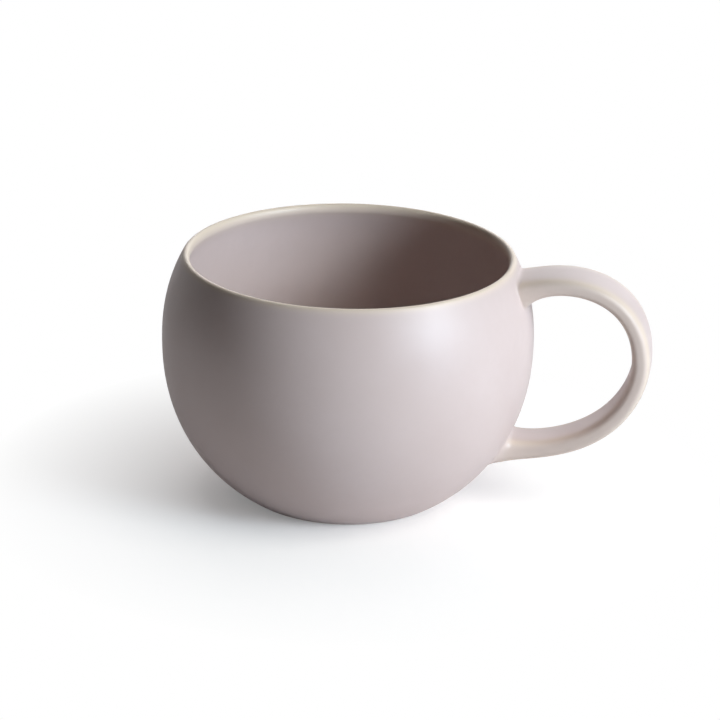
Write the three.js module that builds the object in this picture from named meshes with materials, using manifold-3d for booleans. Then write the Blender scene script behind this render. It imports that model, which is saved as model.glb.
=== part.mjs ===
// A porcelain coffee cup: a round-bellied body and a strap handle stuck on with slip.
// Millimetres, +Z up. The cup stands on z = 0 with its handle along +X, and the origin lies
// under the middle of its whole length.
import * as THREE from "three";
import { mergeVertices } from "three/addons/utils/BufferGeometryUtils.js";
import Module from "manifold-3d";

// Body, outside
const CUP_HEIGHT = 60.4;
const BELLY_RADIUS = 45;
const BELLY_HEIGHT = 39.6;
const RIM_RADIUS = 40.15;
const LIP_RADIUS = 0.95;
const SHOULDER_FULLNESS = 2.16;
const LOWER_FULLNESS = 2.21;

// Body, inside
const BELLY_WALL = 3.2;
const FLOOR_THICKNESS = 4;
const BOWL_FULLNESS = 2.85;

// Foot ring, with the recess that it stands around
const FOOT_RADIUS = 24.1;
const FOOT_WIDTH = 3.6;
const FOOT_RECESS = 1.6;
const RECESS_FULLNESS = 4;

// Handle's middle line: it leaves the shoulder rising, turns down at the bend and comes back level
const UPPER_ROOT_DROP = 5.65;
const UPPER_ROOT_RISE = THREE.MathUtils.degToRad(27.5);
const UPPER_PULL = 11.7;
const BEND_REACH = 26.3;
const BEND_DROP = 16.6;
const BEND_PULL_UP = 18.8;
const BEND_PULL_DOWN = 3.9;
const LOWER_ROOT_HEIGHT = 14.35;
const LOWER_PULL = 29.3;

// Handle's section: a strap that narrows a little towards its lower end
const UPPER_WIDTH = 14.3;
const MIDDLE_WIDTH = 13.8;
const LOWER_WIDTH = 10.8;
const UPPER_THICKNESS = 3.9;
const MIDDLE_THICKNESS = 4.65;
const LOWER_THICKNESS = 4.3;
const OUTER_SQUARENESS = 3.5;
const INNER_SQUARENESS = 3.5;

// Slip joints: how far each root swells, how soon that dies away, and how deep the slip is
const UPPER_FLARE = 1.6;
const LOWER_FLARE = 1.3;
const FLARE_LENGTH = 4;
const SLIP_DEPTH = 1.5;
const CLEARANCE = 0.3;
const ROOT_EXTENSION = 6;
const STUB_SHARE = 0.3;

// Fineness of the facets
const ROUND_SEGMENTS = 64;
const WALL_STEPS = 12;
const LIP_STEPS = 6;
const RECESS_STEPS = 5;
const HANDLE_STEPS = 44;
const SECTION_SIDES = 24;
const LEAN_PASSES = 8;

const GLAZE = { color: 0xcabcb8, roughness: 0.45, metalness: 0 };
const SLIP = { color: 0xc6b8b4, roughness: 0.45, metalness: 0 };

const wasm = await Module();
wasm.setup();

// A wall that swells from an end radius to the belly. The square of the radius falls from the
// belly's by a power of the share of the way to the end: a power of 2 is an ellipse, more is fuller.
class SwellingWall extends THREE.Curve {
  constructor(bellyRadius, endRadius, endHeight, fullness) {
    super();
    this.bellyRadius = bellyRadius;
    this.fall = bellyRadius ** 2 - endRadius ** 2;
    this.rise = endHeight - BELLY_HEIGHT;
    this.fullness = fullness;
  }

  getPoint(share, target = new THREE.Vector2()) {
    const radius = Math.sqrt(this.bellyRadius ** 2 - this.fall * share ** this.fullness);
    return target.set(radius, BELLY_HEIGHT + this.rise * share);
  }

  // Angle by which the wall's outward normal is tilted up from level
  getLean(share) {
    const steepness = this.fall * this.fullness * share ** (this.fullness - 1);
    return Math.atan(steepness / (2 * this.getPoint(share).x * this.rise));
  }

  getOffsetPoint(share, distance) {
    const lean = this.getLean(share);
    const shift = new THREE.Vector2(Math.cos(lean), Math.sin(lean)).multiplyScalar(distance);
    return this.getPoint(share).add(shift);
  }

  shareAt(height) {
    return (height - BELLY_HEIGHT) / this.rise;
  }
}

// A quarter of a superellipse in a profile, from an edge at the given radius to a flat on the axis
function roundedBowl(radius, edgeHeight, flatHeight, fullness, steps) {
  const points = [];
  for (let step = 0; step <= steps; step += 1) {
    const turn = (step / steps) * (Math.PI / 2);
    const across = step === steps ? 0 : Math.cos(turn) ** (2 / fullness);
    const along = Math.sin(turn) ** (2 / fullness);
    points.push(new THREE.Vector2(radius * across, edgeHeight + (flatHeight - edgeHeight) * along));
  }
  return points;
}

// The lip is a half round that runs on from the leaning walls and tops out at the cup's height
let shoulder = new SwellingWall(BELLY_RADIUS, RIM_RADIUS, CUP_HEIGHT, SHOULDER_FULLNESS);
for (let pass = 0; pass < LEAN_PASSES; pass += 1) {
  const edgeHeight = CUP_HEIGHT - LIP_RADIUS * (1 - Math.sin(shoulder.getLean(1)));
  shoulder = new SwellingWall(BELLY_RADIUS, RIM_RADIUS, edgeHeight, SHOULDER_FULLNESS);
}
const lower = new SwellingWall(BELLY_RADIUS, FOOT_RADIUS, 0, LOWER_FULLNESS);
const lipCentre = shoulder.getOffsetPoint(1, -LIP_RADIUS);

const innerBelly = BELLY_RADIUS - BELLY_WALL;
let innerLean = shoulder.getLean(1);
let innerShoulder;
for (let pass = 0; pass < LEAN_PASSES; pass += 1) {
  const edgeRadius = lipCentre.x - LIP_RADIUS * Math.cos(innerLean);
  const edgeHeight = lipCentre.y - LIP_RADIUS * Math.sin(innerLean);
  innerShoulder = new SwellingWall(innerBelly, edgeRadius, edgeHeight, SHOULDER_FULLNESS);
  innerLean = innerShoulder.getLean(1);
}

// Keeps positions only, welds shared corners and drops the slivers that a lathe leaves on its axis
function welded(geometry) {
  geometry.deleteAttribute("normal");
  geometry.deleteAttribute("uv");
  const merged = mergeVertices(geometry);
  const corners = merged.index.array;
  const kept = [];
  for (let start = 0; start < corners.length; start += 3) {
    const [a, b, c] = corners.subarray(start, start + 3);
    if (a !== b && b !== c && c !== a) kept.push(a, b, c);
  }
  merged.setIndex(kept);
  return merged;
}

function turned(profile) {
  return welded(new THREE.LatheGeometry(profile, ROUND_SEGMENTS).rotateX(Math.PI / 2));
}

function bodyGeometry() {
  const recessRadius = FOOT_RADIUS - FOOT_WIDTH;
  const recess = roundedBowl(recessRadius, 0, FOOT_RECESS, RECESS_FULLNESS, RECESS_STEPS).reverse();
  const lip = new THREE.ArcCurve(
    lipCentre.x, lipCentre.y, LIP_RADIUS, shoulder.getLean(1), Math.PI + innerLean, false,
  );
  const floorTop = FOOT_RECESS + FLOOR_THICKNESS;
  return turned([
    ...recess,
    ...lower.getPoints(WALL_STEPS).reverse(),
    ...shoulder.getPoints(WALL_STEPS).slice(1),
    ...lip.getPoints(LIP_STEPS).slice(1),
    ...innerShoulder.getPoints(WALL_STEPS).reverse().slice(1),
    ...roundedBowl(innerBelly, BELLY_HEIGHT, floorTop, BOWL_FULLNESS, WALL_STEPS).slice(1),
  ]);
}

// The space that the body fills, grown by a distance and solid to its axis, for cutting the handle's
// roots to the wall. Its side runs on above the rim, so that a high root is cut all the way up.
function grownBody(distance) {
  const side = [];
  for (let step = WALL_STEPS; step > 0; step -= 1) {
    side.push(lower.getOffsetPoint(step / WALL_STEPS, distance));
  }
  for (let step = 0; step <= WALL_STEPS; step += 1) {
    side.push(shoulder.getOffsetPoint(step / WALL_STEPS, distance));
  }
  const edge = side[side.length - 1];
  const lean = shoulder.getLean(1);
  const runOn = new THREE.Vector2(-Math.sin(lean), Math.cos(lean)).multiplyScalar(UPPER_ROOT_DROP);
  side.push(edge.clone().add(runOn));
  const bottom = new THREE.Vector2(0, side[0].y);
  const top = new THREE.Vector2(0, side[side.length - 1].y);
  return turned([bottom, ...side, top]);
}

function handlePath() {
  const upperHeight = CUP_HEIGHT - UPPER_ROOT_DROP;
  const upperRadius = shoulder.getPoint(shoulder.shareAt(upperHeight)).x;
  const lowerRadius = lower.getPoint(lower.shareAt(LOWER_ROOT_HEIGHT)).x;
  const upperRoot = new THREE.Vector3(upperRadius, 0, upperHeight);
  const lowerRoot = new THREE.Vector3(lowerRadius, 0, LOWER_ROOT_HEIGHT);
  const bend = new THREE.Vector3(BELLY_RADIUS + BEND_REACH, 0, upperHeight - BEND_DROP);
  const rising = new THREE.Vector3(Math.cos(UPPER_ROOT_RISE), 0, Math.sin(UPPER_ROOT_RISE));
  const level = new THREE.Vector3(1, 0, 0);
  const up = new THREE.Vector3(0, 0, 1);
  const from = (point, direction, distance) => point.clone().addScaledVector(direction, distance);
  const path = new THREE.CurvePath();
  path.add(new THREE.LineCurve3(from(upperRoot, rising, -ROOT_EXTENSION), upperRoot));
  path.add(new THREE.CubicBezierCurve3(
    upperRoot, from(upperRoot, rising, UPPER_PULL), from(bend, up, BEND_PULL_UP), bend,
  ));
  path.add(new THREE.CubicBezierCurve3(
    bend, from(bend, up, -BEND_PULL_DOWN), from(lowerRoot, level, LOWER_PULL), lowerRoot,
  ));
  path.add(new THREE.LineCurve3(lowerRoot, from(lowerRoot, level, -ROOT_EXTENSION)));
  return path;
}

// A parabola through three values, at the upper root, half way and at the lower root
function tapered(upper, middle, lowerEnd, share) {
  const rest = 1 - share;
  return upper * rest ** 2 + (4 * middle - upper - lowerEnd) * share * rest + lowerEnd * share ** 2;
}

// The strap's section at a share of the path: half its width, half its thickness, and its corners
function sectionRing(path, pathShare) {
  const centre = path.getPoint(pathShare);
  const tangent = path.getTangent(pathShare);
  const outward = new THREE.Vector3(-tangent.z, 0, tangent.x);
  const sideways = new THREE.Vector3(0, 1, 0);
  const visible = path.getLength() - 2 * ROOT_EXTENSION;
  const fromUpper = THREE.MathUtils.clamp(pathShare * path.getLength() - ROOT_EXTENSION, 0, visible);
  const share = fromUpper / visible;
  const upperSwell = UPPER_FLARE * Math.exp(-fromUpper / FLARE_LENGTH);
  const lowerSwell = LOWER_FLARE * Math.exp(-(visible - fromUpper) / FLARE_LENGTH);
  const swell = upperSwell + lowerSwell;
  const halfWidth = tapered(UPPER_WIDTH, MIDDLE_WIDTH, LOWER_WIDTH, share) / 2 + swell;
  const halfThickness = tapered(UPPER_THICKNESS, MIDDLE_THICKNESS, LOWER_THICKNESS, share) / 2 + swell;
  const ring = [];
  for (let side = 0; side < SECTION_SIDES; side += 1) {
    const turn = (side / SECTION_SIDES) * 2 * Math.PI;
    const squareness = Math.cos(turn) > 0 ? OUTER_SQUARENESS : INNER_SQUARENESS;
    const across = Math.sign(Math.cos(turn)) * Math.abs(Math.cos(turn)) ** (2 / squareness);
    const along = Math.sign(Math.sin(turn)) * Math.abs(Math.sin(turn)) ** (2 / squareness);
    const corner = centre.clone().addScaledVector(outward, halfThickness * across);
    ring.push(corner.addScaledVector(sideways, halfWidth * along));
  }
  return { centre, ring };
}

// A closed loft of the strap between two shares of its path
function strap(path, start, end, steps) {
  const positions = [];
  const faces = [];
  const put = (point) => positions.push(point.x, point.y, point.z) / 3 - 1;
  let previous;
  for (let step = 0; step <= steps; step += 1) {
    const { centre, ring } = sectionRing(path, start + ((end - start) * step) / steps);
    const corners = ring.map(put);
    for (let side = 0; side < SECTION_SIDES; side += 1) {
      const next = (side + 1) % SECTION_SIDES;
      if (previous) {
        faces.push(previous[side], corners[side], previous[next]);
        faces.push(previous[next], corners[side], corners[next]);
      }
      if (step === 0) faces.push(put(centre), corners[side], corners[next]);
      if (step === steps) faces.push(put(centre), corners[next], corners[side]);
    }
    previous = corners;
  }
  const geometry = new THREE.BufferGeometry();
  geometry.setAttribute("position", new THREE.Float32BufferAttribute(positions, 3));
  geometry.setIndex(faces);
  return welded(geometry);
}

function solid(geometry) {
  const vertProperties = new Float32Array(geometry.attributes.position.array);
  const triVerts = new Uint32Array(geometry.index.array);
  return new wasm.Manifold(new wasm.Mesh({ numProp: 3, vertProperties, triVerts }));
}

function mesh(name, geometry, finish) {
  geometry.computeVertexNormals();
  const made = new THREE.Mesh(geometry, new THREE.MeshStandardMaterial(finish));
  made.name = name;
  return made;
}

function cutMesh(name, body, finish) {
  const cut = body.getMesh();
  const geometry = new THREE.BufferGeometry();
  geometry.setAttribute("position", new THREE.BufferAttribute(new Float32Array(cut.vertProperties), 3));
  geometry.setIndex(new THREE.BufferAttribute(new Uint32Array(cut.triVerts), 1));
  return mesh(name, geometry, finish);
}

// The body, the two layers of slip on its wall, and the handle that starts where the slip ends
const path = handlePath();
const slipSeat = solid(grownBody(CLEARANCE));
const slipFace = solid(grownBody(CLEARANCE + SLIP_DEPTH));
const handleSeat = solid(grownBody(CLEARANCE + SLIP_DEPTH + CLEARANCE));
const stubSteps = Math.round(HANDLE_STEPS * STUB_SHARE);
const upperStub = solid(strap(path, 0, STUB_SHARE, stubSteps));
const lowerStub = solid(strap(path, 1 - STUB_SHARE, 1, stubSteps));
const wholeStrap = solid(strap(path, 0, 1, HANDLE_STEPS));

const handle = cutMesh("handle", wholeStrap.subtract(handleSeat), GLAZE);
const upperSlip = upperStub.intersect(slipFace).subtract(slipSeat);
const lowerSlip = lowerStub.intersect(slipFace).subtract(slipSeat);

const cup = new THREE.Group();
cup.add(mesh("cup_body", bodyGeometry(), GLAZE));
cup.add(handle);
cup.add(cutMesh("upper_slip_joint", upperSlip, SLIP));
cup.add(cutMesh("lower_slip_joint", lowerSlip, SLIP));

handle.geometry.computeBoundingBox();
cup.position.x = (BELLY_RADIUS - handle.geometry.boundingBox.max.x) / 2;

const part = new THREE.Group();
part.add(cup);

export default part;
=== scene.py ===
"""A satin-glazed porcelain coffee cup on a plain studio stage.

The cup is a turned body, a strap handle and the two fillets of slip that hold the handle. Each is a
surface worked out from its sizes, in metres, in the frame of the packed model.
"""

import bpy
import numpy as np
from mathutils import Matrix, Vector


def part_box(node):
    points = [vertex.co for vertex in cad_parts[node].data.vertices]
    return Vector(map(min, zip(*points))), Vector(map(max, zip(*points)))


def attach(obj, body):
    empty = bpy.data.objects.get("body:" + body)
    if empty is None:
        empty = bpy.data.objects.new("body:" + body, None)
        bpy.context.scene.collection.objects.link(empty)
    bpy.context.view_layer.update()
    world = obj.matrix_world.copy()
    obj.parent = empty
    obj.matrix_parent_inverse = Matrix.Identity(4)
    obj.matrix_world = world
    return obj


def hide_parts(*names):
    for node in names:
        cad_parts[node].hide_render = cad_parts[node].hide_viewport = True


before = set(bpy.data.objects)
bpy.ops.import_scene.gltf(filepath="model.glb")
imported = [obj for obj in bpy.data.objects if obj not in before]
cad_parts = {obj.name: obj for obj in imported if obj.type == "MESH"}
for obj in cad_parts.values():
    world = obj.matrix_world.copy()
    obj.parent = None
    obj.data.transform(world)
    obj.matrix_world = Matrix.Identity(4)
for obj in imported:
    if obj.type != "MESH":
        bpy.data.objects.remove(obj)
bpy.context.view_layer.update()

bl_info = {
    "name": "Porcelain coffee cup",
    "version": (1, 0, 0),
    "blender": (4, 5, 0),
    "location": "3D View > Sidebar > Cup",
    "description": "Makes a satin-glazed porcelain coffee cup and a plain studio stage for it",
    "category": "Add Mesh",
}

MM = 0.001
BODY_LOW, BODY_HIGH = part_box("cup_body")
AXIS_X = (BODY_LOW.x + BODY_HIGH.x) / 2

# Fineness of the surfaces, and of the searches that shape them
ROUND_STEPS = 224
PROFILE_STEPS = {"recess": 20, "corner": 6, "lower": 64, "shoulder": 48, "lip": 20, "bowl": 64}
STRAP_STEPS = 240
SECTION_STEPS = 120
COVE_STEPS = 12
PATH_SAMPLES = 400
TURN_SAMPLES = 4000
TANGENT_STEP = 0.05 * MM
TANGENT_PASSES = 8
HALVINGS = 40

# How far a cove's arc is pulled towards the corner that it fills, 1 being all the way
COVE_PULL = 2 / 3

# Turns round the strap's section, from its outer middle, at which its corners lie
OUTER_CORNER = np.pi / 4
INNER_CORNER = 3 * np.pi / 4

# Noises of the finish: the size of their features in metres, and how finely they are detailed
DRIFT_NOISE = dict(feature_size=28 * MM, detail=3)
MOTTLE_NOISE = dict(feature_size=2.2 * MM, detail=2)
ROUGHNESS_NOISE = dict(feature_size=9 * MM, detail=4)
GRAIN_NOISE = dict(feature_size=0.35 * MM, detail=3)
PEEL_DETAIL = 2

# The range in which most of a noise lies, and what the noises do to the glaze and to the bare clay
NOISE_RANGE = (0.3, 0.7)
MOTTLE_MOST = 0.35
ROUGHNESS_SPREAD = 0.04
PEEL_STRENGTH = 0.5
GRAIN_MOST = 0.5
GRAIN_STRENGTH = 0.6
GRAIN_DEPTH = 0.03 * MM

# Plain values of the glaze and of the bare clay
GLAZE_IOR = 1.5
BISCUIT_ROUGHNESS = 0.85

# Soft lamps: degrees round and above the cup, distance and width in metres, power in watts, and colour
LAMPS = {
    "low_key": dict(
        azimuth=64, elevation=17, distance=1.0, width=0.38, power=6.3, shade=(0.82, 1.0, 1.19)
    ),
    "middle_key": dict(
        azimuth=64, elevation=26, distance=1.0, width=0.38, power=3.9, shade=(0.93, 1.01, 1.03)
    ),
    "high_key": dict(
        azimuth=75, elevation=45, distance=1.0, width=0.38, power=2.7, shade=(1.0, 0.99, 0.97)
    ),
    "back_lamp": dict(
        azimuth=180, elevation=25, distance=1.2, width=1.2, power=7.0, shade=(1.0, 0.98, 1.02)
    ),
}

# The white backdrop that mirrored rays see: the way to its middle, and how far towards that way, or
# upwards, a ray goes where the white begins and where it is full. Straight up it is about half white.
BACKDROP_WAY = (-0.42, 0.91, 0.0)
BACKDROP_RANGE = (0.3, 0.9)
OVERHEAD_RANGE = (0.3, 1.6)

# The floor: half of its width in metres, its cells on each side, and its depth below the foot ring
FLOOR_REACH = 3.0
FLOOR_CELLS = 24
FLOOR_DEPTH = 0.05 * MM

# The picture's width in pixels, and the width of the camera's sensor in millimetres
PICTURE_PIXELS = 720
SENSOR_WIDTH = 36.0


def srgb(red, green, blue):
    """A colour given as three 8-bit display values, as scene-linear numbers by the sRGB curve."""
    shown = np.array([red, green, blue]) / 255
    linear = np.where(shown <= 0.04045, shown / 12.92, ((shown + 0.055) / 1.055) ** 2.4)
    return tuple(float(value) for value in linear)


def size(name, millimetres, description):
    """A length property whose default is given in millimetres."""
    return bpy.props.FloatProperty(
        name=name, description=description, default=millimetres * MM, min=0.0, precision=5, unit="LENGTH"
    )


def number(name, default, description):
    """A plain number that isn't negative."""
    return bpy.props.FloatProperty(name=name, description=description, default=default, min=0.0)


def angle(name, degrees, description):
    """An angle property whose default is given in degrees."""
    return bpy.props.FloatProperty(
        name=name, description=description, default=float(np.radians(degrees)), subtype="ANGLE"
    )


def colour(name, default, description):
    """A colour property in scene-linear numbers."""
    return bpy.props.FloatVectorProperty(
        name=name, description=description, default=default, size=3, min=0.0, max=1.0, subtype="COLOR"
    )


class CupBodySettings(bpy.types.PropertyGroup):
    """Sizes of the turned body."""

    height: size("Height", BODY_HIGH.z / MM, "From the table to the top of the lip")
    belly_radius: size("Belly radius", (BODY_HIGH.x - BODY_LOW.x) / 2 / MM, "Outer radius at the belly")
    belly_height: size("Belly height", 39.6, "Height of the widest part")
    rim_radius: size("Rim radius", 40.15, "Outer radius where the lip begins")
    lip_radius: size("Lip radius", 0.95, "Half of the lip's width, and the radius of its outer side")
    lip_fall: size("Lip fall", 1.5, "Depth in which the lip's inner side rounds over")
    shoulder_fullness: number("Shoulder fullness", 2.16, "Power of the wall above the belly")
    lower_fullness: number("Lower fullness", 2.21, "Power of the wall below the belly")
    belly_wall: size("Belly wall", 3.2, "Thickness of the wall at the belly")
    floor_thickness: size("Floor thickness", 4.0, "Thickness of the floor above the recess")
    bowl_fullness: number("Bowl fullness", 2.85, "Power of the superellipse inside, below the belly")
    foot_radius: size("Foot radius", 24.1, "Outer radius of the foot ring")
    foot_width: size("Foot width", 3.6, "Width of the foot ring's flat")
    foot_recess: size("Foot recess", 1.6, "Depth of the recess inside the foot ring")
    recess_fullness: number("Recess fullness", 4.0, "Power of the recess's superellipse")
    foot_rounding: size("Foot rounding", 0.55, "How far the foot ring's corners are rounded")
    biscuit_height: size("Biscuit height", 0.3, "Height up to which the foot ring is wiped bare of glaze")


class HandleSettings(bpy.types.PropertyGroup):
    """Sizes of the strap handle, from its upper root round the bend to its lower root."""

    upper_root_drop: size("Upper root drop", 5.65, "Upper root's depth below the top of the lip")
    upper_root_rise: angle("Upper root rise", 27.5, "Slope at which the handle leaves the shoulder")
    upper_pull: size("Upper pull", 11.7, "How far the handle runs on in that slope")
    bend_reach: size("Bend reach", 26.3, "Middle line's furthest distance from the belly")
    bend_drop: size("Bend drop", 16.6, "Depth of the furthest point below the upper root")
    bend_pull_up: size("Bend pull up", 18.8, "How far the bend runs on upright above that point")
    bend_pull_down: size("Bend pull down", 3.9, "How far the bend runs on upright below that point")
    lower_root_height: size("Lower root height", 14.35, "Height of the lower root")
    lower_pull: size("Lower pull", 29.3, "How far the handle runs on level from the lower root")
    upper_width: size("Upper width", 14.3, "Width of the strap at its upper root")
    middle_width: size("Middle width", 13.8, "Width of the strap half way")
    lower_width: size("Lower width", 10.8, "Width of the strap at its lower root")
    upper_thickness: size("Upper thickness", 3.9, "Thickness of the strap at its upper root")
    middle_thickness: size("Middle thickness", 4.65, "Thickness of the strap half way")
    lower_thickness: size("Lower thickness", 4.3, "Thickness of the strap at its lower root")
    outer_squareness: number("Outer squareness", 3.5, "Power of the section's outer half")
    inner_squareness: number("Inner squareness", 3.5, "Power of the section's inner half")
    upper_flare: size("Upper flare", 1.6, "How far the upper root swells")
    lower_flare: size("Lower flare", 1.3, "How far the lower root swells")
    upper_side_share: number("Upper side share", 0.25, "Share of the upper swelling at the strap's sides")
    flare_length: size("Flare length", 4.0, "Distance in which a swelling falls to about a third")
    root_extension: size("Root extension", 6.0, "How far the middle line runs on inside the wall")
    burial: size("Burial", 0.8, "How deep the handle's ends lie in the wall")
    search: size("Search", 12.0, "Distance from the line's ends at which the strap is clear of the wall")


class SlipSettings(bpy.types.PropertyGroup):
    """Sizes of the fillets of slip at the handle's roots."""

    on_handle: size("On the handle", 1.2, "How far a fillet runs up the handle")
    on_wall: size("On the wall", 0.9, "How far a fillet runs out over the wall")
    upper_side_size: number("Upper side size", 0.4, "Upper fillet at the strap's sides, 1 being no change")
    lower_side_size: number("Lower side size", 2.5, "Lower fillet at the strap's sides, 1 being no change")
    depth: size("Depth", 0.35, "How deep a fillet's hidden back lies in the handle and the wall")


class GlazeSettings(bpy.types.PropertyGroup):
    """Colours and finish of the glaze and of the bare foot."""

    tone: colour("Tone", srgb(203, 186, 181), "Glaze where it lies evenly")
    drift: colour("Drift", srgb(198, 180, 174), "Glaze where it lies a little thicker")
    # Thin: the cream of glaze drawn thin over the lip, also used on the handle for a painted highlight along
    # its outer corners and painted light on its sides and lower leg.
    thin: colour("Thin", srgb(219, 201, 180), "Glaze where it has drawn thin over an edge")
    # Fillet tone: a little darker than the even tone, on the two fillets at the handle's roots.
    fillet_tone: colour("Pooled", srgb(199, 182, 177), "Glaze where it has gathered in a fillet")
    biscuit: colour("Biscuit", srgb(226, 214, 204), "Bare clay of the foot ring")
    roughness: number("Roughness", 0.45, "Middle roughness of the satin glaze")
    thin_reach: size("Thin reach", 1.3, "Distance outside the lip at which the thin glaze has mostly faded")
    thin_reach_inside: size("Thin reach inside", 2.4, "The same inside the lip")
    # Strap side, outer corner and inner corner are partly glaze drawn thin over the strap's edges and partly
    # painted light in the thin colour: a painted highlight along the outer corners, and painted lightening of
    # the narrow sides and of the lower leg's inner corners.
    strap_side_thin_and_painted_light: number("Strap side", 0.36, "Thinness of the glaze over the strap's narrow sides")
    outer_corner: number("Outer corner", 0.34, "Further thinness along the strap's outer corners")
    inner_corner: number("Inner corner", 0.3, "The same along its inner corners, near the lower root")
    corner_turn: number("Corner turn", 0.35, "Turn from a corner at which the thin glaze has mostly faded")
    # Corner start and end: where along the strap the painted light on the inner corners begins, and where it
    # is strongest.
    painted_light_start: number("Corner start", 0.6, "Share of the strap where the inner corners begin to thin")
    painted_light_end: number("Corner end", 0.9, "Share of the strap where they are thinnest")
    peel_size: size("Peel size", 1.3, "Size of the glaze's fine dimples")
    peel_depth: size("Peel depth", 0.012, "Depth of the glaze's fine dimples")


class StageSettings(bpy.types.PropertyGroup):
    """Camera, floor and lights."""

    azimuth: angle("Azimuth", 7.87, "Turn of the camera round the cup, from straight in front")
    elevation: angle("Elevation", 20.78, "Height of the camera above the horizon")
    roll: angle("Roll", 1.072, "Tilt of the camera to its side")
    distance: size("Distance", 800.0, "Distance of the camera from the middle of the cup")
    lens: number("Lens", 164.335, "Focal length in millimetres")
    target_height: size("Target height", 30.19, "Height of the point on the cup's axis that the camera faces")
    target_across: number("Target across", 347.27, "That point's pixels from the left of the picture")
    target_down: number("Target down", 371.40, "That point's pixels from the top of the picture")
    floor_colour: colour("Floor", (0.89, 0.85, 0.84), "Colour of the pale floor, as it lights the cup")
    floor_seen: colour("Floor seen", (0.84, 0.81, 0.78), "Colour of the pale floor, as it is seen")
    floor_lift: number("Floor lift", 0.4, "Even glow of the floor as it is seen, 1 being white")
    floor_mirrored: number("Floor mirrored", 0.38, "Share of the floor's white that the glaze mirrors")
    shade_least: number("Shade least", 0.48, "Share of the glow left where the cup shades it most")
    shade_reach: size("Shade reach", 40.0, "Distance within which the cup shades the floor's glow")
    fade_start: size("Fade start", 34.0, "Distance from the cup's axis where the floor begins to whiten")
    fade_end: size("Fade end", 92.0, "Distance from the cup's axis where the floor is plain white")
    ambient: colour("Ambient", (0.004, 0.003, 0.003), "Dim light from all round")


def unit(vectors):
    """Vectors scaled to a length of 1."""
    return vectors / np.linalg.norm(vectors, axis=-1, keepdims=True)


def dot(first, second):
    """Dot products of vectors, kept as columns."""
    return np.sum(first * second, axis=-1, keepdims=True)


def distances_along(points):
    """Each point's distance from the first, along the line through all of them."""
    return np.concatenate([[0], np.cumsum(np.linalg.norm(np.diff(points, axis=0), axis=1))])


class SwellingWall:
    """A wall that swells from an end radius to the belly.

    The square of its radius falls from the belly's by a power of the share of the way to the end: a
    power of 2 is an ellipse, and more is fuller.
    """

    def __init__(self, belly_radius, belly_height, end_radius, end_height, fullness):
        self.belly_radius = belly_radius
        self.belly_height = belly_height
        self.fall = belly_radius**2 - end_radius**2
        self.rise = end_height - belly_height
        self.fullness = fullness

    def radius(self, share):
        return np.sqrt(self.belly_radius**2 - self.fall * share**self.fullness)

    def height(self, share):
        return self.belly_height + self.rise * share

    def profile(self, share):
        return np.column_stack([self.radius(share), self.height(share)])

    def lean(self, share):
        """Angle by which the wall's outward normal is tilted up from level."""
        steepness = self.fall * self.fullness * share ** (self.fullness - 1)
        return np.arctan(steepness / (2 * self.radius(share) * self.rise))

    def share_at(self, height):
        return np.maximum((height - self.belly_height) / self.rise, 0)


class CupWalls:
    """The outer and inner walls, with a lip that runs on from both of them.

    The lip is part of a circle on its outer side and part of an upright ellipse on its inner side. It
    shares its tangents with the walls. They depend on each other, so a few passes settle them.
    """

    def __init__(self, sizes):
        self.sizes = sizes
        belly = (sizes.belly_radius, sizes.belly_height)
        self.lower = SwellingWall(*belly, sizes.foot_radius, 0, sizes.lower_fullness)
        edge_height = sizes.height
        for _ in range(TANGENT_PASSES):
            self.shoulder = SwellingWall(*belly, sizes.rim_radius, edge_height, sizes.shoulder_fullness)
            self.lean = self.shoulder.lean(1)
            edge_height = sizes.height - sizes.lip_radius * (1 - np.sin(self.lean))
        lip_reach = sizes.lip_radius * np.array([np.cos(self.lean), np.sin(self.lean)])
        self.lip_centre = np.array([sizes.rim_radius, edge_height]) - lip_reach
        self.inner_belly = sizes.belly_radius - sizes.belly_wall
        self.inner_centre = self.lip_centre + [0, sizes.lip_radius - sizes.lip_fall]
        self.inner_half = np.array([sizes.lip_radius, sizes.lip_fall])
        self.inner_lean = self.lean
        for _ in range(TANGENT_PASSES):
            facing = self.inner_half * [np.cos(self.inner_lean), np.sin(self.inner_lean)]
            edge = self.inner_centre - self.inner_half * facing / np.linalg.norm(facing)
            self.inner_shoulder = SwellingWall(
                self.inner_belly, sizes.belly_height, *edge, sizes.shoulder_fullness
            )
            self.inner_lean = self.inner_shoulder.lean(1)
        self.inner_turn = np.pi + np.arctan2(facing[1], facing[0])

    def outer_radius(self, height):
        """Outer radius at a height: the shoulder's above the belly and the lower wall's below it."""
        above = self.shoulder.radius(self.shoulder.share_at(height))
        below = self.lower.radius(np.minimum(self.lower.share_at(height), 1))
        return np.where(height > self.sizes.belly_height, above, below)

    def outer_normal(self, points):
        """Outward normals of the outer wall, tilted from level by its lean at each point's height."""
        above = self.shoulder.lean(self.shoulder.share_at(points[..., 2]))
        below = self.lower.lean(np.minimum(self.lower.share_at(points[..., 2]), 1))
        lean = np.where(points[..., 2] > self.sizes.belly_height, above, below)
        turn = np.arctan2(points[..., 1], points[..., 0] - AXIS_X)
        parts = [np.cos(lean) * np.cos(turn), np.cos(lean) * np.sin(turn), np.sin(lean)]
        return np.stack(parts, axis=-1)

    def gap(self, points):
        """Level distance of points from the outer wall, negative inside it."""
        return np.hypot(points[..., 0] - AXIS_X, points[..., 1]) - self.outer_radius(points[..., 2])

    def onto(self, points):
        """Points moved level onto the outer wall."""
        across = np.stack([points[..., 0] - AXIS_X, points[..., 1]], axis=-1)
        scale = self.outer_radius(points[..., 2]) / np.linalg.norm(across, axis=-1)
        moved = across * scale[..., None]
        return np.stack([moved[..., 0] + AXIS_X, moved[..., 1], points[..., 2]], axis=-1)


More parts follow.
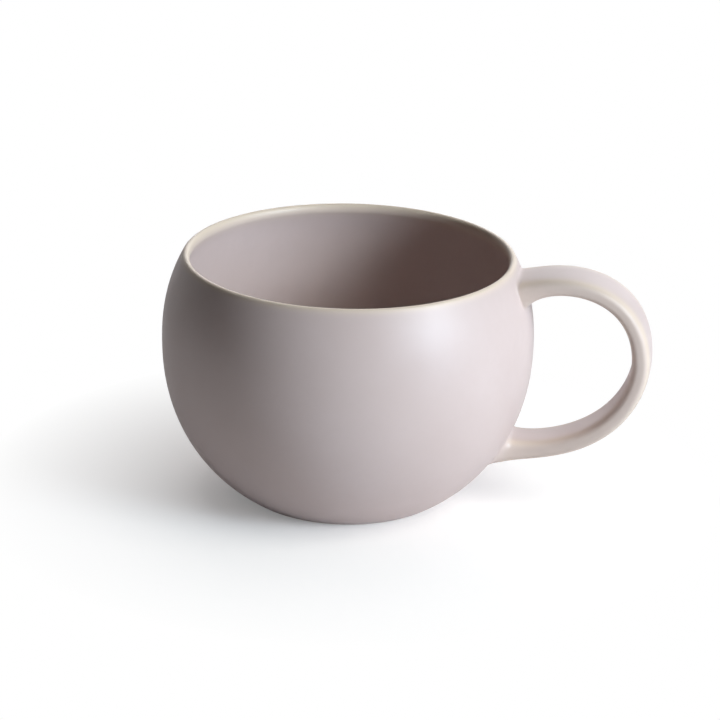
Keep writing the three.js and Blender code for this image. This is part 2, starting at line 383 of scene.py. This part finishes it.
def superellipse_quarter(radius, edge_height, flat_height, fullness, steps):
    """A profile from an edge at the radius to a flat on the axis.

    Over a quarter turn the radius goes with the cosine, and the height with the sine, each to the power
    of 2 divided by the fullness.
    """
    turn = np.linspace(0, np.pi / 2, steps + 1)
    across = np.clip(np.cos(turn), 0, 1) ** (2 / fullness)
    along = np.sin(turn) ** (2 / fullness)
    return np.column_stack([radius * across, edge_height + (flat_height - edge_height) * along])


def bezier(corners, share):
    """A quadratic or cubic Bezier curve: its corners weighted by the Bernstein polynomials of a share."""
    rest = 1 - share
    if len(corners) == 3:
        weights = [rest**2, 2 * share * rest, share**2]
    else:
        weights = [rest**3, 3 * share * rest**2, 3 * share**2 * rest, share**3]
    return sum(weight * corner for weight, corner in zip(weights, corners))


def body_profile(walls):
    """The body's whole profile, as radius and height, from the middle of its underside to its floor.

    It runs out through the recess, round the foot ring's two rounded corners, up the outer wall, over
    the lip and down the inner wall. The two ends on the axis are left to the poles.
    """
    sizes = walls.sizes
    steps = PROFILE_STEPS
    rounding = sizes.foot_rounding
    recess_radius = sizes.foot_radius - sizes.foot_width
    recess = superellipse_quarter(
        recess_radius, 0, sizes.foot_recess, sizes.recess_fullness, steps["recess"]
    )[-2::-1]
    corner_share = np.linspace(0, 1, steps["corner"] + 1)[:, None]
    inner_corner = [[recess_radius, rounding], [recess_radius, 0], [recess_radius + rounding, 0]]
    wall_end = walls.lower.share_at(rounding)
    wall_start = [walls.lower.radius(wall_end), rounding]
    outer_corner = [[sizes.foot_radius - rounding, 0], [sizes.foot_radius, 0], wall_start]
    outer_turn = np.linspace(walls.lean, np.pi / 2, steps["lip"] + 1)[1:, None]
    inner_turn = np.linspace(np.pi / 2, walls.inner_turn, steps["lip"] + 1)[1:, None]
    lip = np.vstack([
        walls.lip_centre + sizes.lip_radius * np.hstack([np.cos(outer_turn), np.sin(outer_turn)]),
        walls.inner_centre + walls.inner_half * np.hstack([np.cos(inner_turn), np.sin(inner_turn)]),
    ])
    floor_height = sizes.foot_recess + sizes.floor_thickness
    return np.vstack([
        recess[recess[:, 1] > rounding],
        bezier([np.array(point) for point in inner_corner], corner_share),
        bezier([np.array(point) for point in outer_corner], corner_share),
        walls.lower.profile(np.linspace(wall_end, 0, steps["lower"] + 1)[1:]),
        walls.shoulder.profile(np.linspace(0, 1, steps["shoulder"] + 1)[1:]),
        lip,
        walls.inner_shoulder.profile(np.linspace(1, 0, steps["shoulder"] + 1)[1:]),
        superellipse_quarter(
            walls.inner_belly, sizes.belly_height, floor_height, sizes.bowl_fullness, steps["bowl"]
        )[1:-1],
    ])


def grid_faces(rows, columns, close_rows=False, close_columns=True):
    """Quads between neighbours on a grid of points, where the last row or column may join the first."""
    row, column = np.meshgrid(
        np.arange(rows if close_rows else rows - 1),
        np.arange(columns if close_columns else columns - 1),
        indexing="ij",
    )
    next_row = (row + 1) % rows
    next_column = (column + 1) % columns
    corners = [(row, column), (row, next_column), (next_row, next_column), (next_row, column)]
    return np.stack([down * columns + across for down, across in corners], axis=-1).reshape(-1, 4)


def fan_faces(pole, ring):
    """Triangles from a pole to each side of a ring of points."""
    return np.column_stack([np.full(len(ring), pole), ring, np.roll(ring, -1)])


def new_piece(name, points, faces, thin, materials, replaced):
    """A smooth mesh at the origin that rides on the cup's one body and stands for a node of it.

    thin is stored at each point: 1 where the glaze has drawn thin over an edge, and 0 where it lies
    evenly. On the handle and its fillets it also carries painted light: a painted highlight along the
    strap's outer corners and painted lightening of its sides and inner corners.
    """
    mesh = bpy.data.meshes.new(name)
    mesh.from_pydata(points.tolist(), [], faces)
    mesh.attributes.new("thin_glaze_and_painted_light", "FLOAT", "POINT").data.foreach_set("value", thin.astype(np.float32))
    mesh.polygons.foreach_set("use_smooth", np.ones(len(mesh.polygons), dtype=bool))
    for material in materials:
        mesh.materials.append(material)
    mesh.update()
    piece = bpy.data.objects.new(name, mesh)
    bpy.context.scene.collection.objects.link(piece)
    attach(piece, "root")
    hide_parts(replaced)
    return piece


def parabola(upper, middle, lower, share):
    """A parabola through three values, at the upper root, half way and at the lower root."""
    rest = 1 - share
    return upper * rest**2 + (4 * middle - upper - lower) * share * rest + lower * share**2


class HandleStrap:
    """The handle as a section carried along a middle line in the cup's upright plane of symmetry."""

    def __init__(self, sizes, walls):
        self.sizes = sizes
        self.walls = walls
        upper_height = walls.sizes.height - sizes.upper_root_drop
        upper_root = np.array([walls.outer_radius(upper_height), upper_height])
        lower_root = np.array([walls.outer_radius(sizes.lower_root_height), sizes.lower_root_height])
        bend = np.array([walls.sizes.belly_radius + sizes.bend_reach, upper_height - sizes.bend_drop])
        rising = np.array([np.cos(sizes.upper_root_rise), np.sin(sizes.upper_root_rise)])
        level = np.array([1.0, 0.0])
        upright = np.array([0.0, 1.0])
        share = np.linspace(0, 1, PATH_SAMPLES)[:, None]
        upper_leg = [
            upper_root, upper_root + rising * sizes.upper_pull, bend + upright * sizes.bend_pull_up, bend
        ]
        lower_leg = [
            bend, bend - upright * sizes.bend_pull_down, lower_root + level * sizes.lower_pull, lower_root
        ]
        self.line = np.vstack([
            upper_root - rising * sizes.root_extension,
            bezier(upper_leg, share),
            bezier(lower_leg, share)[1:],
            lower_root - level * sizes.root_extension,
        ])
        self.distance = distances_along(self.line)
        self.visible = self.distance[-1] - 2 * sizes.root_extension
        self.tangent = unit(np.gradient(self.line, self.distance, axis=0))

    def middle(self, along):
        """Points and directions of the middle line, as radius and height, at distances along it."""
        centre = np.stack([np.interp(along, self.distance, part) for part in self.line.T])
        tangent = np.stack([np.interp(along, self.distance, part) for part in self.tangent.T])
        return centre, tangent / np.linalg.norm(tangent, axis=0)

    def surface(self, along, turn):
        """Points of the strap at distances along its middle line and turns round its section.

        Each half of the section is a superellipse: the cosine of the turn carries it out across the
        strap and the sine sideways, each to the power of 2 divided by the half's squareness. The half
        sizes follow a parabola along the strap, and swell exponentially towards both roots.
        """
        along, turn = np.broadcast_arrays(along, turn)
        sizes = self.sizes
        from_upper = np.clip(along - sizes.root_extension, 0, self.visible)
        share = from_upper / self.visible
        upper_swell = sizes.upper_flare * np.exp(-from_upper / sizes.flare_length)
        lower_swell = sizes.lower_flare * np.exp(-(self.visible - from_upper) / sizes.flare_length)
        width = parabola(sizes.upper_width, sizes.middle_width, sizes.lower_width, share)
        thickness = parabola(
            sizes.upper_thickness, sizes.middle_thickness, sizes.lower_thickness, share
        )
        power = 2 / np.where(np.cos(turn) > 0, sizes.outer_squareness, sizes.inner_squareness)
        out = np.sign(np.cos(turn)) * np.abs(np.cos(turn)) ** power
        out = out * (thickness / 2 + upper_swell + lower_swell)
        sideways = np.sign(np.sin(turn)) * np.abs(np.sin(turn)) ** power
        sideways = sideways * (width / 2 + sizes.upper_side_share * upper_swell + lower_swell)
        centre, tangent = self.middle(along)
        parts = [AXIS_X + centre[0] - tangent[1] * out, sideways, centre[1] + tangent[0] * out]
        return np.stack(parts, axis=-1)

    def even_turns(self, count):
        """Turns that are evenly spaced round the section half way along the strap."""
        turn = np.linspace(0, 2 * np.pi, TURN_SAMPLES + 1)
        travelled = distances_along(self.surface(self.distance[-1] / 2, turn))
        return np.interp(np.arange(count) / count * travelled[-1], travelled, turn)

    def root(self, turn, inside, outside):
        """Distances along the middle line at which the surface meets the outer wall, found by halving."""
        inside = np.full_like(turn, inside)
        outside = np.full_like(turn, outside)
        if self.walls.gap(self.surface(inside, turn)).max() > 0:
            raise RuntimeError("The handle's root doesn't reach into the cup's wall")
        if self.walls.gap(self.surface(outside, turn)).min() < 0:
            raise RuntimeError("The handle doesn't stand clear of the cup's wall")
        for _ in range(HALVINGS):
            middle = (inside + outside) / 2
            beyond = self.walls.gap(self.surface(middle, turn)) > 0
            inside = np.where(beyond, inside, middle)
            outside = np.where(beyond, middle, outside)
        return outside

    def upper_root(self, turn):
        return self.root(turn, 0.0, self.sizes.search)

    def lower_root(self, turn):
        return self.root(turn, self.distance[-1], self.distance[-1] - self.sizes.search)


def slip_fillet(strap, walls, sizes, turn, root, inward, side_size):
    """A closed ring of slip round one of the handle's roots, as points and quads.

    Its face is a cove: a cubic Bezier arc that leaves the handle along the handle's surface, and ends on
    the wall along the wall's. Three hidden lines close it behind. inward is 1 where the distance along the
    handle grows away from the wall, and -1 where it shrinks. The fillet is side_size times as large at the
    strap's two sides, and goes over to that with the square of the sine of the turn.
    """
    spread = 1 + (side_size - 1) * np.sin(turn) ** 2
    up_reach = sizes.on_handle * spread
    on_handle = strap.surface(root + inward * up_reach, turn)
    corner = strap.surface(root, turn)
    normal = walls.outer_normal(corner)
    round_root = np.roll(corner, -1, axis=0) - np.roll(corner, 1, axis=0)
    outward = unit(np.cross(round_root, normal))
    outward = outward * np.sign(dot(outward, corner - corner.mean(axis=0)))
    on_wall = walls.onto(corner + outward * sizes.on_wall * spread[:, None])
    wall_normal = walls.outer_normal(on_wall)
    up_handle = unit(strap.surface(root + inward * (up_reach + TANGENT_STEP), turn) - on_handle)
    to_corner = dot(corner - on_handle, up_handle) * up_handle
    across_wall = corner - on_wall
    across_wall = across_wall - dot(across_wall, wall_normal) * wall_normal
    stops = [on_handle, on_handle + to_corner * COVE_PULL, on_wall + across_wall * COVE_PULL, on_wall]
    cove = bezier([stop[:, None] for stop in stops], np.linspace(0, 1, COVE_STEPS + 1)[None, :, None])
    behind_wall = on_wall - wall_normal * sizes.depth
    behind_corner = corner - normal * sizes.depth - outward * sizes.depth
    behind_handle = on_handle - outward * sizes.depth
    behind = np.stack([behind_wall, behind_corner, behind_handle], axis=1)
    ring = np.concatenate([cove, behind], axis=1)
    rows, columns = ring.shape[:2]
    return ring.reshape(-1, 3), grid_faces(rows, columns, close_rows=True)


def crease_cove(mesh, lines):
    """Mark the cove's two edges sharp, so that its shading takes nothing from the hidden faces behind."""
    ends = np.empty(2 * len(mesh.edges), dtype=np.int32)
    mesh.edges.foreach_get("vertices", ends)
    line = ends.reshape(-1, 2) % lines
    along_edge = (line[:, 0] == line[:, 1]) & np.isin(line[:, 0], (0, COVE_STEPS))
    mesh.attributes.new("sharp_edge", "BOOLEAN", "EDGE").data.foreach_set("value", along_edge)


def opaque(shade):
    """A colour with its alpha, or a socket as it is."""
    return shade if isinstance(shade, bpy.types.NodeSocket) else (*shade, 1)


def socket(sockets, key):
    """A node's socket by its identifier, or by its name or number."""
    found = [made for made in sockets if made.identifier == key]
    return found[0] if found else sockets[key]


class NodeTree:
    """Short words for laying out the nodes of a material or of a world."""

    def __init__(self, owner):
        owner.use_nodes = True
        self.tree = owner.node_tree
        self.tree.nodes.clear()

    def node(self, kind, inputs=None, **settings):
        """A new node, with its settings, and with its inputs set to numbers or linked to sockets."""
        made = self.tree.nodes.new(kind)
        for name, value in settings.items():
            setattr(made, name, value)
        for key, value in (inputs or {}).items():
            if isinstance(value, bpy.types.NodeSocket):
                self.tree.links.new(value, socket(made.inputs, key))
            else:
                socket(made.inputs, key).default_value = value
        return made

    def noise(self, coordinates, feature_size, detail):
        """Noise whose features have about the given size, in metres."""
        inputs = {"Vector": coordinates, "Scale": 1 / feature_size, "Detail": detail}
        return self.node("ShaderNodeTexNoise", inputs).outputs["Fac"]

    def between(self, value, low, high, span=NOISE_RANGE):
        """A value carried from a span to the range from low to high, and held there beyond the span."""
        start, end = span
        inputs = {"Value": value, "From Min": start, "From Max": end, "To Min": low, "To Max": high}
        return self.node("ShaderNodeMapRange", inputs).outputs["Result"]

    def maths(self, operation, first, second):
        """Two values, or value sockets, worked into one."""
        return self.node("ShaderNodeMath", {0: first, 1: second}, operation=operation).outputs["Value"]

    def mixed(self, factor, first, second):
        """Two colours, or colour sockets, mixed by a factor."""
        made = self.node("ShaderNodeMix", data_type="RGBA", inputs={
            "Factor_Float": factor, "A_Color": opaque(first), "B_Color": opaque(second)
        })
        return socket(made.outputs, "Result_Color")


def glaze_material(name, glaze, tone):
    """Satin glaze with a tone that drifts over the piece, thin tan edges, painted light along the handle's
    edges and fine dimples.
    """
    material = bpy.data.materials.new(name)
    tree = NodeTree(material)
    where = tree.node("ShaderNodeTexCoord").outputs["Object"]
    drift = tree.between(tree.noise(where, **DRIFT_NOISE), 0, 1)
    mottle = tree.between(tree.noise(where, **MOTTLE_NOISE), 0, MOTTLE_MOST)
    base = tree.mixed(drift, tone, glaze.drift)
    base = tree.mixed(mottle, base, glaze.drift)
    # The thin share mixes in the thin colour: thin glaze on the lip, and on the handle also painted highlight
    # and painted light.
    thin = tree.node("ShaderNodeAttribute", attribute_name="thin_glaze_and_painted_light").outputs["Fac"]
    base = tree.mixed(thin, base, glaze.thin)
    smoothest = glaze.roughness - ROUGHNESS_SPREAD
    roughest = glaze.roughness + ROUGHNESS_SPREAD
    roughness = tree.between(tree.noise(where, **ROUGHNESS_NOISE), smoothest, roughest)
    dimples = tree.noise(where, glaze.peel_size, PEEL_DETAIL)
    peel = tree.node("ShaderNodeBump", {
        "Height": dimples, "Strength": PEEL_STRENGTH, "Distance": glaze.peel_depth
    })
    shader = tree.node("ShaderNodeBsdfPrincipled", {
        "Base Color": base, "Roughness": roughness, "Normal": peel.outputs["Normal"], "IOR": GLAZE_IOR
    })
    tree.node("ShaderNodeOutputMaterial", {"Surface": shader.outputs["BSDF"]})
    return material


def biscuit_material(glaze):
    """Bare fired clay: dry, a little grainy and paler than the glaze."""
    material = bpy.data.materials.new("biscuit")
    tree = NodeTree(material)
    where = tree.node("ShaderNodeTexCoord").outputs["Object"]
    grain = tree.noise(where, **GRAIN_NOISE)
    base = tree.mixed(tree.between(grain, 0, GRAIN_MOST), glaze.biscuit, glaze.drift)
    bump = tree.node("ShaderNodeBump", {
        "Height": grain, "Strength": GRAIN_STRENGTH, "Distance": GRAIN_DEPTH
    })
    shader = tree.node("ShaderNodeBsdfPrincipled", {
        "Base Color": base, "Roughness": BISCUIT_ROUGHNESS, "Normal": bump.outputs["Normal"]
    })
    tree.node("ShaderNodeOutputMaterial", {"Surface": shader.outputs["BSDF"]})
    return material


class CUP_OT_make_body(bpy.types.Operator):
    """Make the turned body with its lip, foot ring and bare foot"""

    bl_idname = "cup.make_body"
    bl_label = "Make cup body"

    def execute(self, context):
        sizes, glaze = context.scene.cup_body, context.scene.cup_glaze
        profile = body_profile(CupWalls(sizes))
        turn = np.arange(ROUND_STEPS) / ROUND_STEPS * 2 * np.pi
        radius, height = (part[:, None] for part in profile.T)
        rings = np.stack(np.broadcast_arrays(
            AXIS_X + radius * np.cos(turn), radius * np.sin(turn), height
        ), axis=-1)
        underside = [AXIS_X, 0, sizes.foot_recess]
        inside_floor = [AXIS_X, 0, sizes.foot_recess + sizes.floor_thickness]
        points = np.vstack([rings.reshape(-1, 3), underside, inside_floor])
        rows, columns = rings.shape[:2]
        first_ring = np.arange(columns)
        quads = grid_faces(rows, columns)
        fans = np.vstack([
            fan_faces(len(points) - 2, first_ring[::-1]),
            fan_faces(len(points) - 1, first_ring + (rows - 1) * columns),
        ])
        travelled = distances_along(profile)
        from_lip = travelled - travelled[profile[:, 1].argmax()]
        reach = np.where(from_lip > 0, glaze.thin_reach_inside, glaze.thin_reach)
        thin = np.append(np.repeat(np.exp(-((from_lip / reach) ** 2)), columns), [0, 0])
        materials = [glaze_material("glaze_body", glaze, glaze.tone), biscuit_material(glaze)]
        piece = new_piece(
            "cup_body_glazed", points, quads.tolist() + fans.tolist(), thin, materials,
            "cup_body",
        )
        bare_row = np.maximum(profile[:-1, 1], profile[1:, 1]) < sizes.biscuit_height
        bare = np.append(np.repeat(bare_row, columns), np.zeros(len(fans), dtype=bool))
        piece.data.polygons.foreach_set("material_index", bare.astype(np.int32))
        return {"FINISHED"}


def corner_ridge(turn, first, last, glaze):
    """1 between two turns from the strap's outer middle, on both of its sides, and a bell beyond them."""
    from_middle = np.minimum(turn, 2 * np.pi - turn)
    away = np.maximum(first - from_middle, from_middle - last).clip(0)
    return np.exp(-((away / glaze.corner_turn) ** 2))


class CUP_OT_make_handle(bpy.types.Operator):
    """Make the strap handle, with both ends set into the wall"""

    bl_idname = "cup.make_handle"
    bl_label = "Make handle"

    def execute(self, context):
        sizes, glaze = context.scene.cup_handle, context.scene.cup_glaze
        strap = HandleStrap(sizes, CupWalls(context.scene.cup_body))
        turn = strap.even_turns(SECTION_STEPS)
        start = strap.upper_root(turn) - sizes.burial
        end = strap.lower_root(turn) + sizes.burial
        share = np.linspace(0, 1, STRAP_STEPS + 1)[:, None]
        rings = strap.surface(start + (end - start) * share, turn)
        points = np.vstack([rings.reshape(-1, 3), rings[0].mean(axis=0), rings[-1].mean(axis=0)])
        rows, columns = rings.shape[:2]
        ring = np.arange(columns)
        quads = grid_faces(rows, columns)[:, ::-1]
        fans = np.vstack([
            fan_faces(len(points) - 2, ring),
            fan_faces(len(points) - 1, ring[::-1] + (rows - 1) * columns),
        ])
        # On the strap the thin share is partly glaze drawn thin over the edges and partly painted light: a
        # painted highlight along the outer corners, painted lightening of the narrow sides, and painted light
        # on the inner corners that grows towards the lower root.
        lower = np.clip((share - glaze.painted_light_start) / (glaze.painted_light_end - glaze.painted_light_start), 0, 1)
        side = glaze.strap_side_thin_and_painted_light * corner_ridge(turn, OUTER_CORNER, INNER_CORNER, glaze)
        outer = glaze.outer_corner * corner_ridge(turn, OUTER_CORNER, OUTER_CORNER, glaze)
        inner = glaze.inner_corner * corner_ridge(turn, INNER_CORNER, INNER_CORNER, glaze)
        thin = np.append((side + outer + lower * inner).ravel(), [0, 0])
        new_piece(
            "handle_glazed", points, quads.tolist() + fans.tolist(), thin,
            [glaze_material("glaze_handle", glaze, glaze.tone)], "handle",
        )
        return {"FINISHED"}


class CUP_OT_make_slip_joints(bpy.types.Operator):
    """Make the two fillets of slip round the handle's roots"""

    bl_idname = "cup.make_slip_joints"
    bl_label = "Make slip joints"

    def execute(self, context):
        sizes, glaze = context.scene.cup_slip, context.scene.cup_glaze
        walls = CupWalls(context.scene.cup_body)
        strap = HandleStrap(context.scene.cup_handle, walls)
        turn = strap.even_turns(SECTION_STEPS)
        material = glaze_material("glaze_fillet", glaze, glaze.fillet_tone)
        roots = (
            ("upper", strap.upper_root(turn), 1, sizes.upper_side_size, 0),
            ("lower", strap.lower_root(turn), -1, sizes.lower_side_size, glaze.inner_corner),
        )
        for name, root, inward, side_size, inner_corner in roots:
            points, quads = slip_fillet(strap, walls, sizes, turn, root, inward, side_size)
            quads = quads[:, ::-inward]
            lines = len(points) // len(turn)
            # The strap's thin share, with its painted highlight and painted light, runs on into the fillet
            # and fades across the cove.
            ridge = glaze.strap_side_thin_and_painted_light * corner_ridge(turn, OUTER_CORNER, INNER_CORNER, glaze)
            ridge = ridge + inner_corner * corner_ridge(turn, INNER_CORNER, INNER_CORNER, glaze)
            thin = ridge[:, None] * np.clip(1 - np.arange(lines) / COVE_STEPS, 0, 1)
            piece = new_piece(
                f"{name}_slip_fillet", points, quads.tolist(), thin.ravel(), [material],
                f"{name}_slip_joint",
            )
            crease_cove(piece.data, lines)
        return {"FINISHED"}


def facing_cup(azimuth, elevation):
    """Directions to the right and to the back of a camera or lamp that faces the cup, from its angles."""
    right = np.array([np.cos(azimuth), np.sin(azimuth), 0])
    level = np.array([np.sin(azimuth), -np.cos(azimuth), 0])
    back = level * np.cos(elevation) + [0, 0, np.sin(elevation)]
    return right, back


def placed(axes, place):
    """The matrix of something whose own three axes have the given directions, at a place."""
    matrix = np.eye(4)
    matrix[:3, :3] = np.column_stack(axes)
    matrix[:3, 3] = place
    return Matrix(matrix.tolist())


def rotation(first, second, turn):
    """A turn in the plane of two axes, which carries the first one towards the second."""
    matrix = np.eye(3)
    matrix[first, first] = matrix[second, second] = np.cos(turn)
    matrix[second, first] = np.sin(turn)
    matrix[first, second] = -np.sin(turn)
    return matrix


def camera_matrix(stage):
    """The camera's place and turn.

    It faces its target on the cup's axis, is rolled, and is then turned so that the target lands on the
    wanted pixel.
    """
    right, back = facing_cup(stage.azimuth, stage.elevation)
    down = np.cross(right, back)
    across, below = (
        (pixels - PICTURE_PIXELS / 2) * SENSOR_WIDTH / PICTURE_PIXELS / stage.lens
        for pixels in (stage.target_across, stage.target_down)
    )
    yaw = np.arctan2(across, 1)
    pitch = np.arctan2(below, np.hypot(across, 1))
    rolled = rotation(0, 1, stage.roll) @ np.array([right, down, -back])
    axes = rotation(2, 0, yaw) @ rotation(2, 1, pitch) @ rolled
    target = np.array([AXIS_X, 0, stage.target_height])
    return placed([axes[0], -axes[1], -axes[2]], target + back * stage.distance)


def area_light(name, azimuth, elevation, distance, width, power, shade):
    """A square soft light that faces the cup from a direction, given as degrees round and above it."""
    data = bpy.data.lights.new(name, "AREA")
    data.shape = "SQUARE"
    data.size = width
    data.energy = power
    data.color = shade
    light = bpy.data.objects.new(name, data)
    light.visible_camera = False
    bpy.context.scene.collection.objects.link(light)
    right, back = facing_cup(np.radians(azimuth), np.radians(elevation))
    middle = np.array([AXIS_X, 0, BODY_HIGH.z / 2])
    light.matrix_world = placed([right, np.cross(back, right), back], middle + back * distance)


def seen_rays(tree, share=1):
    """1 for rays straight from the camera, a share for those mirrored or let through, and 0 for others."""
    path = tree.node("ShaderNodeLightPath").outputs
    mirrored = tree.maths("MAXIMUM", path["Is Glossy Ray"], path["Is Transmission Ray"])
    return tree.maths("MAXIMUM", path["Is Camera Ray"], tree.maths("MULTIPLY", mirrored, share))


def floor_material(stage):
    """A pale matt floor that keeps shadows near the cup and fades to plain white further out."""
    material = bpy.data.materials.new("pale_floor")
    tree = NodeTree(material)
    where = tree.node("ShaderNodeTexCoord").outputs["Object"]
    distance = tree.node(
        "ShaderNodeVectorMath", {0: where, 1: (AXIS_X, 0, 0)}, operation="DISTANCE"
    ).outputs["Value"]
    seen = seen_rays(tree, stage.floor_mirrored)
    fade = tree.between(distance, 0, 1, (stage.fade_start, stage.fade_end))
    white = tree.maths("MULTIPLY", fade, seen)
    shade = tree.mixed(seen, stage.floor_colour, stage.floor_seen)
    matt = tree.node("ShaderNodeBsdfDiffuse", {"Color": shade})
    open_sky = tree.node("ShaderNodeAmbientOcclusion", {"Distance": stage.shade_reach}).outputs["AO"]
    lift = tree.between(open_sky, stage.floor_lift * stage.shade_least, stage.floor_lift, (0, 1))
    direct = tree.node("ShaderNodeLightPath").outputs["Is Camera Ray"]
    lift = tree.maths("MULTIPLY", lift, direct)
    glow = tree.node("ShaderNodeEmission", {"Strength": lift})
    near = tree.node("ShaderNodeAddShader", {0: matt.outputs["BSDF"], 1: glow.outputs["Emission"]})
    far = tree.node("ShaderNodeEmission", {"Strength": 1.0})
    mix = tree.node("ShaderNodeMixShader", {
        0: white, 1: near.outputs["Shader"], 2: far.outputs["Emission"]
    })
    tree.node("ShaderNodeOutputMaterial", {"Surface": mix.outputs["Shader"]})
    return material


def studio_world(stage):
    """A world that is white where it is seen directly, or mirrored from behind or above, and else dim."""
    world = bpy.data.worlds.new("studio")
    tree = NodeTree(world)
    towards = tree.node("ShaderNodeTexCoord").outputs["Generated"]
    behind = tree.node("ShaderNodeVectorMath", {0: towards, 1: BACKDROP_WAY}, operation="DOT_PRODUCT")
    above = tree.node("ShaderNodeSeparateXYZ", {0: towards})
    backdrop = tree.maths(
        "MAXIMUM",
        tree.between(behind.outputs["Value"], 0, 1, BACKDROP_RANGE),
        tree.between(above.outputs["Z"], 0, 1, OVERHEAD_RANGE),
    )
    direct = tree.node("ShaderNodeLightPath").outputs["Is Camera Ray"]
    mirrored = tree.maths("MULTIPLY", seen_rays(tree), backdrop)
    shade = tree.mixed(tree.maths("MAXIMUM", direct, mirrored), stage.ambient, (1, 1, 1))
    background = tree.node("ShaderNodeBackground", {"Color": shade})
    tree.node("ShaderNodeOutputWorld", {"Surface": background.outputs["Background"]})
    return world


class CUP_OT_set_stage(bpy.types.Operator):
    """Set the camera, the pale floor, the white backdrop and the soft lights"""

    bl_idname = "cup.set_stage"
    bl_label = "Set stage"

    def execute(self, context):
        scene, stage = context.scene, context.scene.cup_stage
        camera = bpy.data.objects.new("camera", bpy.data.cameras.new("camera"))
        camera.data.lens = stage.lens
        camera.data.sensor_width = SENSOR_WIDTH
        camera.matrix_world = camera_matrix(stage)
        scene.collection.objects.link(camera)
        scene.camera = camera

        reach = np.linspace(-FLOOR_REACH, FLOOR_REACH, FLOOR_CELLS + 1)
        across, deep = np.meshgrid(reach, reach)
        points = np.stack([across, deep, np.full_like(across, -FLOOR_DEPTH)], axis=-1).reshape(-1, 3)
        faces = grid_faces(*across.shape, close_columns=False)
        mesh = bpy.data.meshes.new("floor")
        mesh.from_pydata(points.tolist(), [], faces.tolist())
        mesh.materials.append(floor_material(stage))
        floor = bpy.data.objects.new("floor", mesh)
        scene.collection.objects.link(floor)

        scene.world = studio_world(stage)
        for name, lamp in LAMPS.items():
            area_light(name, **lamp)
        scene.view_settings.view_transform = "Standard"
        return {"FINISHED"}


class CUP_PT_panel(bpy.types.Panel):
    """Lists the cup's operators and their sizes"""

    bl_idname = "CUP_PT_panel"
    bl_label = "Porcelain coffee cup"
    bl_space_type = "VIEW_3D"
    bl_region_type = "UI"
    bl_category = "Cup"

    def draw(self, context):
        for operator in OPERATORS:
            self.layout.operator(operator.bl_idname)
        for name, group in SETTINGS.items():
            box = self.layout.box()
            box.label(text=group.__doc__)
            for key in group.__annotations__:
                box.prop(getattr(context.scene, name), key)


SETTINGS = {
    "cup_body": CupBodySettings,
    "cup_handle": HandleSettings,
    "cup_slip": SlipSettings,
    "cup_glaze": GlazeSettings,
    "cup_stage": StageSettings,
}
OPERATORS = (CUP_OT_make_body, CUP_OT_make_handle, CUP_OT_make_slip_joints, CUP_OT_set_stage)


def register():
    for group in SETTINGS.values():
        bpy.utils.register_class(group)
    for name, group in SETTINGS.items():
        setattr(bpy.types.Scene, name, bpy.props.PointerProperty(type=group))
    for made in (*OPERATORS, CUP_PT_panel):
        bpy.utils.register_class(made)


def unregister():
    for made in (CUP_PT_panel, *reversed(OPERATORS)):
        bpy.utils.unregister_class(made)
    for name, group in reversed(SETTINGS.items()):
        delattr(bpy.types.Scene, name)
        bpy.utils.unregister_class(group)


def main():
    register()
    bpy.ops.cup.make_body()
    bpy.ops.cup.make_handle()
    bpy.ops.cup.make_slip_joints()
    bpy.ops.cup.set_stage()


if __name__ == "__main__":
    main()
